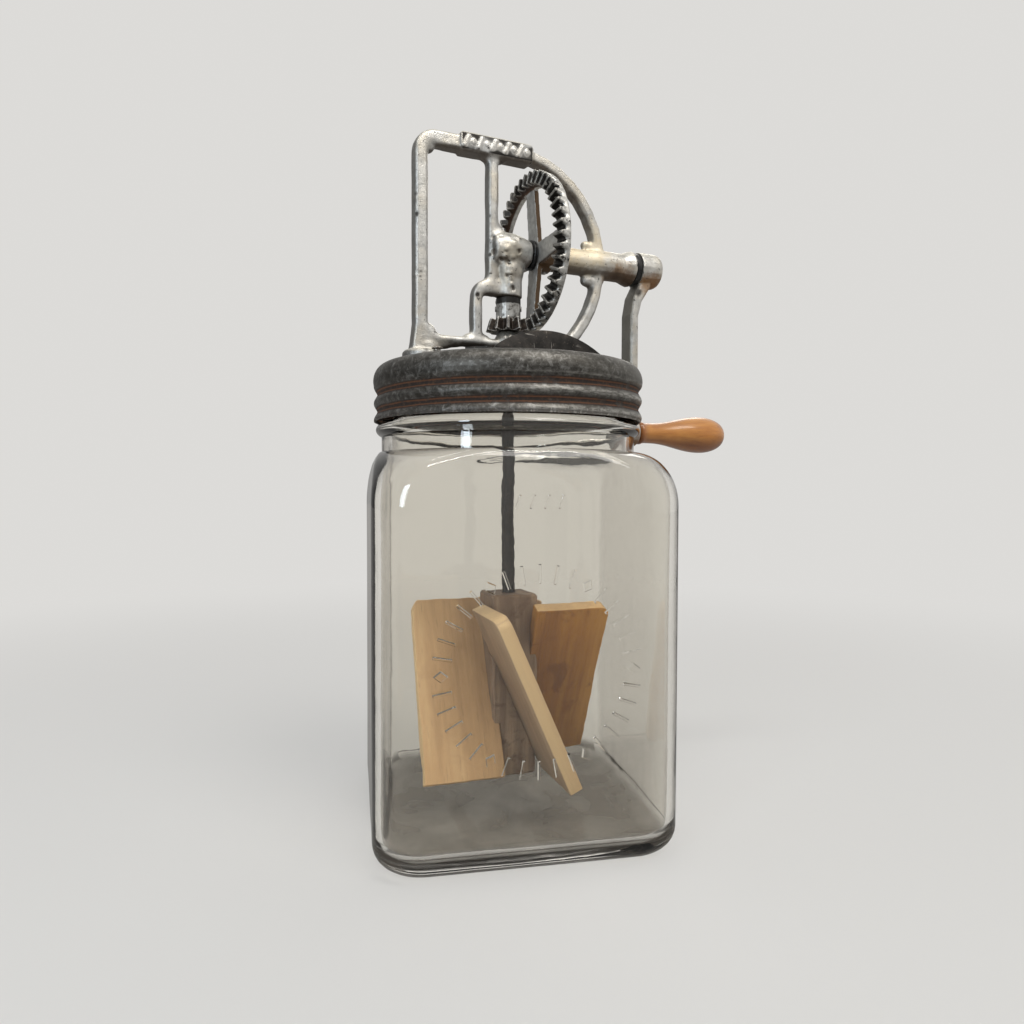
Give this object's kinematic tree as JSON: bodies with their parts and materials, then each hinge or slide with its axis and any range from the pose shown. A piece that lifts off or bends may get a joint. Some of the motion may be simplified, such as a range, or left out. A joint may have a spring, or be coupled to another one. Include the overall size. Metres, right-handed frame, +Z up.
{
  "type": "butter churn",
  "caption": "Hand cranked butter churn: square glass jar, screw cap, cast frame with bevel gear and pinion, side crank and wooden dasher.",
  "frame": {"origin": "centre of the jar's flat base, on the axis of the dasher shaft", "axes": "+Z up along the dasher shaft, +X along the crank axle towards the crank, the cast frame in the XZ plane"},
  "size_m": [0.2038, 0.1516, 0.3231],
  "materials": {
    "jar_glass": "clear, slightly grey from age",
    "seal_rubber": "aged red rubber",
    "cap_steel": "dark weathered zinc coating, rust in the grooves",
    "frame_casting": "worn silver paint",
    "crank_casting": "worn silver paint with dark flanks",
    "gear_iron": "greasy dark teeth, silver rim",
    "dark_steel": "dark, lightly rusted",
    "bright_steel": "dull bare steel",
    "rivet_steel": "dull, silver painted",
    "washer_black": "black, oily",
    "shutter_steel": "dark blued sheet",
    "grip_wood": "orange varnish, worn",
    "dasher_wood": "bare, stained"
  },
  "bodies": {
    "jar": {"jar": "jar_glass"},
    "seal": {"gasket": "seal_rubber"},
    "lid": {"lid_cap": "cap_steel", "frame": "frame_casting", "frame_rivet_left": "rivet_steel", "frame_rivet_right": "rivet_steel", "shaft_bush": "rivet_steel"},
    "shutter": {"vent_shutter": "shutter_steel"},
    "crank": {"crank_axle": "bright_steel", "drive_gear": "gear_iron", "gear_pin": "bright_steel", "inner_washer": "washer_black", "outer_washer": "washer_black", "crank_arm": "crank_casting", "crank_pin": "bright_steel", "grip_spindle": "bright_steel"},
    "grip": {"grip": "grip_wood", "grip_washer": "rivet_steel"},
    "dasher": {"dasher_shaft": "dark_steel", "pinion": "gear_iron", "pinion_pin": "bright_steel", "dasher_hub": "dasher_wood", "hub_pin": "bright_steel", "paddle_1": "dasher_wood", "paddle_2": "dasher_wood", "paddle_3": "dasher_wood", "paddle_4": "dasher_wood"}
  },
  "joints": [
    {"name": "lid_lift", "type": "slide", "parent": "jar", "child": "seal", "axis": [0, 0, 1], "range_m": [0, 0.014]},
    {"name": "lid_turn", "type": "hinge", "parent": "seal", "child": "lid", "pos_m": [0, 0, 0.2155], "axis": [0, 0, 1], "range_deg": [0, 630]},
    {"name": "crank_turn", "type": "hinge", "parent": "lid", "child": "crank", "pos_m": [0, 0, 0.2715], "axis": [1, 0, 0], "continuous": true},
    {"name": "grip_spin", "type": "hinge", "parent": "crank", "child": "grip", "pos_m": [0.1, 0, 0.1875], "axis": [1, 0, 0], "continuous": true},
    {"name": "dasher_spin", "type": "hinge", "parent": "lid", "child": "dasher", "pos_m": [0, 0, 0.2155], "axis": [0, 0, 1], "continuous": true},
    {"name": "shutter_turn", "type": "hinge", "parent": "lid", "child": "shutter", "pos_m": [0, 0, 0.2173], "axis": [0, 0, 1], "range_deg": [-27, 17]}
  ],
  "couplings": [
    {"joint": "lid_lift", "follows": "lid_turn", "m_per_rad": 0.0012573},
    {"joint": "dasher_spin", "follows": "crank_turn", "ratio": 4}
  ]
}
